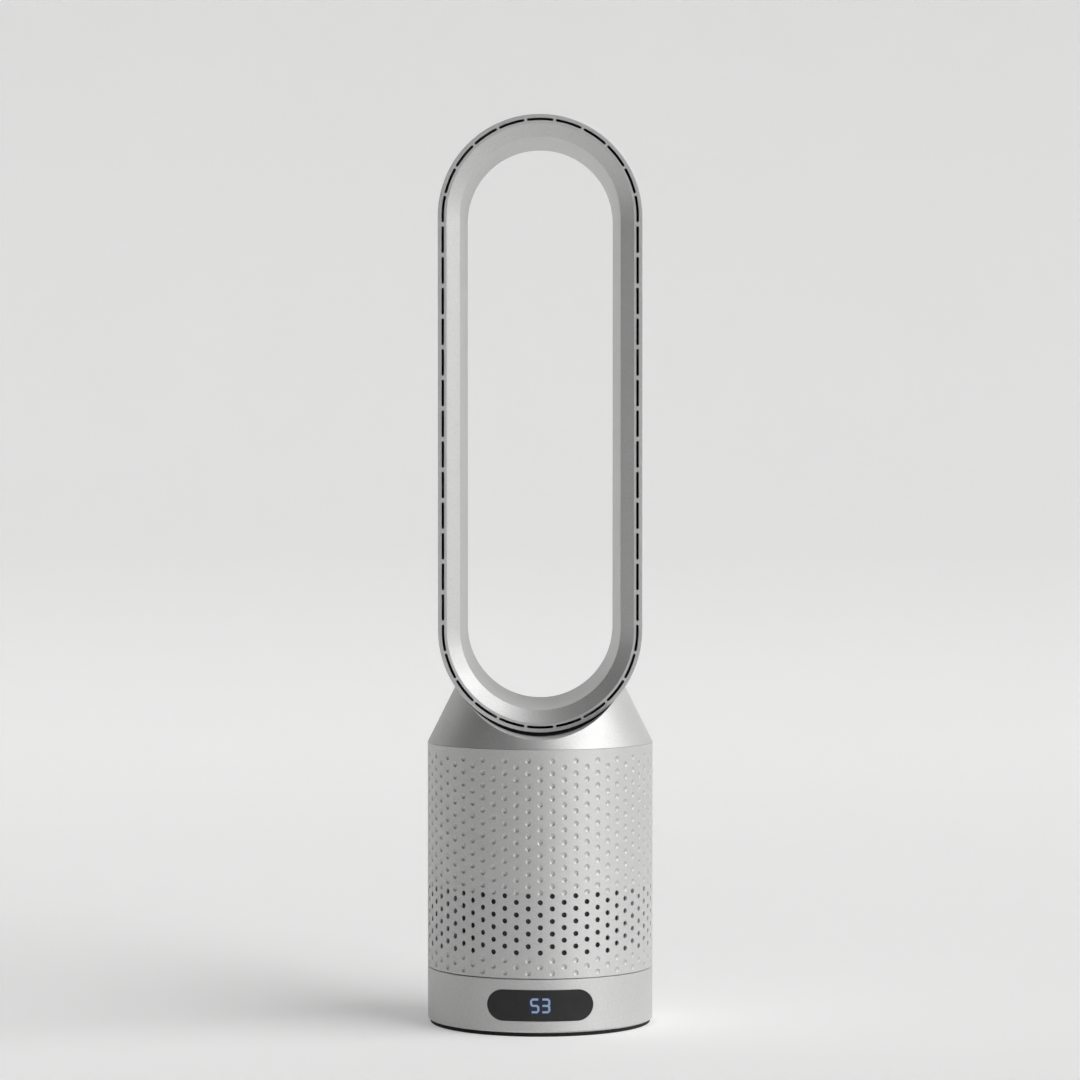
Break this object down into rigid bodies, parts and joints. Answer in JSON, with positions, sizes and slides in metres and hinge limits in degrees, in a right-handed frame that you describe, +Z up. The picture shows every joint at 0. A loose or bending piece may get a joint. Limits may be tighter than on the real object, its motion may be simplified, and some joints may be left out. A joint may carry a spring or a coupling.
{
  "type": "tower fan",
  "caption": "Bladeless tower fan: tall open air loop with a slotted front rim on a swinging perforated column over a round base with a lit display.",
  "frame": {"origin": "on the floor at the centre of the round base, on the axis the column swings about", "axes": "+Z up; -Y is the front, the side with the display and the outlet slots; +X is the viewer's right when facing the front"},
  "size_m": [0.224, 0.224, 0.8979],
  "materials": {
    "silver_shell": "satin silver metallic paint",
    "silver_perforated": "satin silver metallic paint",
    "black_rubber": "matt",
    "smoked_window": "gloss",
    "lit_digit": "lit blue",
    "dark_plastic": "matt",
    "slippery_plastic": "satin",
    "button_plastic": "satin",
    "steel": "bright",
    "copper": "enamelled wire",
    "circuit": "satin",
    "lead_sleeve": "matt",
    "filter_paper": "matt"
  },
  "bodies": {
    "base": {"base_shell": "silver_shell", "base_plate": "dark_plastic", "foot_mat": "black_rubber", "base_deck": "dark_plastic", "base_screws": "steel", "thrust_ring": "slippery_plastic", "hub_retainer": "dark_plastic", "display_window": "smoked_window", "digit_tens": "lit_digit", "digit_ones": "lit_digit", "display_board": "circuit", "light_box": "dark_plastic", "window_holder": "dark_plastic", "swing_motor": "steel", "power_board": "circuit", "mains_inlet": "dark_plastic", "power_switch": "dark_plastic"},
    "button": {"power_button": "button_plastic"},
    "pinion": {"swing_pinion": "slippery_plastic"},
    "tower": {"turntable": "dark_plastic", "swing_gear": "slippery_plastic", "chassis": "dark_plastic", "control_board": "circuit", "motor_lead": "lead_sleeve", "inlet_bell": "dark_plastic", "impeller_housing": "dark_plastic", "diffuser": "dark_plastic", "motor_mounts": "black_rubber", "motor_case": "dark_plastic", "stator": "steel", "windings": "copper", "low_bearing": "steel", "high_bearing": "steel", "bearing_holder": "dark_plastic", "tail_cone": "dark_plastic", "shoulder_shell": "silver_shell", "shoulder_floor": "dark_plastic", "loop_gasket": "black_rubber", "neck_duct": "dark_plastic", "loop_outer_shell": "silver_shell", "loop_inner_shell": "silver_shell", "nozzle_ring": "silver_shell", "air_lips": "dark_plastic", "flow_splitter": "dark_plastic", "loop_screws": "steel", "shroud_magnets": "steel"},
    "fan_wheel": {"impeller": "slippery_plastic", "motor_shaft": "steel", "impeller_nut": "steel", "rotor": "steel"},
    "front_panel": {"front_shroud": "silver_perforated", "front_filter": "filter_paper", "front_filter_caps": "dark_plastic", "front_catches": "steel"},
    "rear_panel": {"rear_shroud": "silver_perforated", "rear_filter": "filter_paper", "rear_filter_caps": "dark_plastic", "rear_catches": "steel"}
  },
  "joints": [
    {"name": "swing", "type": "hinge", "parent": "base", "child": "tower", "pos_m": [0, 0, 0.0568], "axis": [0, 0, 1], "range_deg": [-45, 45]},
    {"name": "pinion_spin", "type": "hinge", "parent": "base", "child": "pinion", "pos_m": [-0.072, 0, 0.05], "axis": [0, 0, 1], "range_deg": [-230, 230]},
    {"name": "fan_spin", "type": "hinge", "parent": "tower", "child": "fan_wheel", "pos_m": [0, 0, 0.2], "axis": [0, 0, 1], "continuous": true},
    {"name": "power_press", "type": "slide", "parent": "base", "child": "button", "axis": [0, -1, 0], "range_m": [0, 0.0012], "stiffness_N_per_m": 500, "springref_m": -0.0006},
    {"name": "front_panel_pull", "type": "slide", "parent": "tower", "child": "front_panel", "axis": [0, -1, 0], "range_m": [0, 0.13]},
    {"name": "rear_panel_pull", "type": "slide", "parent": "tower", "child": "rear_panel", "axis": [0, 1, 0], "range_m": [0, 0.13]}
  ],
  "couplings": [
    {"joint": "pinion_spin", "follows": "swing", "ratio": -5}
  ]
}
